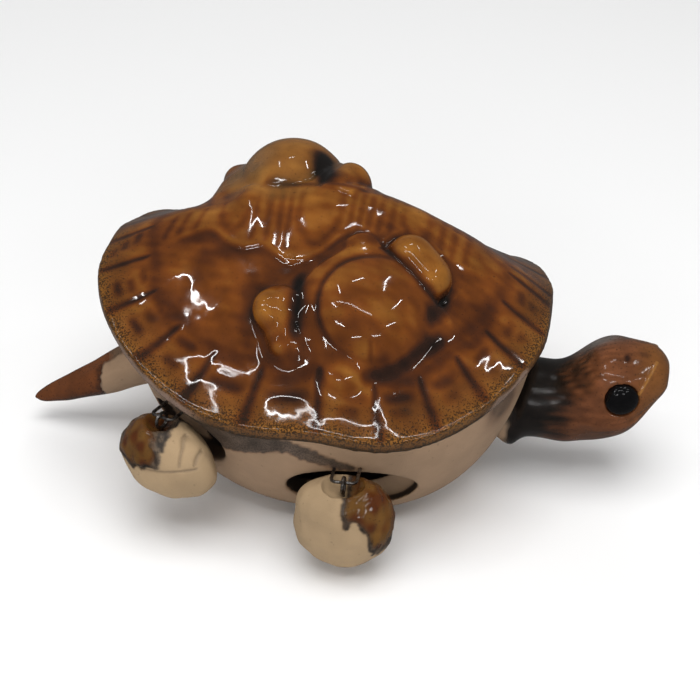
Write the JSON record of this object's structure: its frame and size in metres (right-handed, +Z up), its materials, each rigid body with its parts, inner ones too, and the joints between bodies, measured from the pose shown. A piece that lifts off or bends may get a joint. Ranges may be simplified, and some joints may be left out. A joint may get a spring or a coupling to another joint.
{
  "type": "turtle figurine",
  "caption": "Glazed ceramic turtle figurine: hollow body with a keeled shell carrying baby turtles; head, tail and feet hang on wire links and bob.",
  "frame": {"origin": "on the flat base, below the line where the shell is widest", "axes": "+X towards the head, +Y to the turtle's left, +Z up"},
  "size_m": [0.1366, 0.0942, 0.0661],
  "materials": {
    "amber_glaze": "gloss",
    "black_glaze": "gloss",
    "bisque": "matte",
    "wire": "dull"
  },
  "bodies": {
    "shell": {"shell_body": "amber_glaze", "neck_staple": "wire", "tail_staple": "wire", "front_right_leg_staple": "wire", "rear_right_leg_staple": "wire", "front_left_leg_staple": "wire", "rear_left_leg_staple": "wire"},
    "head": {"head": "amber_glaze", "right_eye": "black_glaze", "left_eye": "black_glaze", "head_hook": "wire"},
    "tail": {"tail": "amber_glaze", "tail_hook": "wire"},
    "front_right_foot": {"front_right_foot": "bisque", "front_right_foot_hook": "wire"},
    "rear_right_foot": {"rear_right_foot": "bisque", "rear_right_foot_hook": "wire"},
    "front_left_foot": {"front_left_foot": "bisque", "front_left_foot_hook": "wire"},
    "rear_left_foot": {"rear_left_foot": "bisque", "rear_left_foot_hook": "wire"}
  },
  "joints": [
    {"name": "head_nod", "type": "hinge", "parent": "shell", "child": "head", "pos_m": [0.03821, 0, 0.02836], "axis": [0, 1, 0], "range_deg": [-7, 9]},
    {"name": "tail_bob", "type": "hinge", "parent": "shell", "child": "tail", "pos_m": [-0.04136, 0, 0.02846], "axis": [0, 1, 0], "range_deg": [-9, 9]},
    {"name": "front_right_swing", "type": "hinge", "parent": "shell", "child": "front_right_foot", "pos_m": [0.0069, -0.04039, 0.0207], "axis": [1, 0, 0], "range_deg": [-45, 4]},
    {"name": "rear_right_swing", "type": "hinge", "parent": "shell", "child": "rear_right_foot", "pos_m": [-0.02945, -0.03392, 0.02705], "axis": [0.9272, -0.3746, 0], "range_deg": [-45, 5]},
    {"name": "front_left_swing", "type": "hinge", "parent": "shell", "child": "front_left_foot", "pos_m": [0.0069, 0.04039, 0.0207], "axis": [1, 0, 0], "range_deg": [-4, 45]},
    {"name": "rear_left_swing", "type": "hinge", "parent": "shell", "child": "rear_left_foot", "pos_m": [-0.02945, 0.03392, 0.02705], "axis": [0.9272, 0.3746, 0], "range_deg": [-5, 45]}
  ]
}
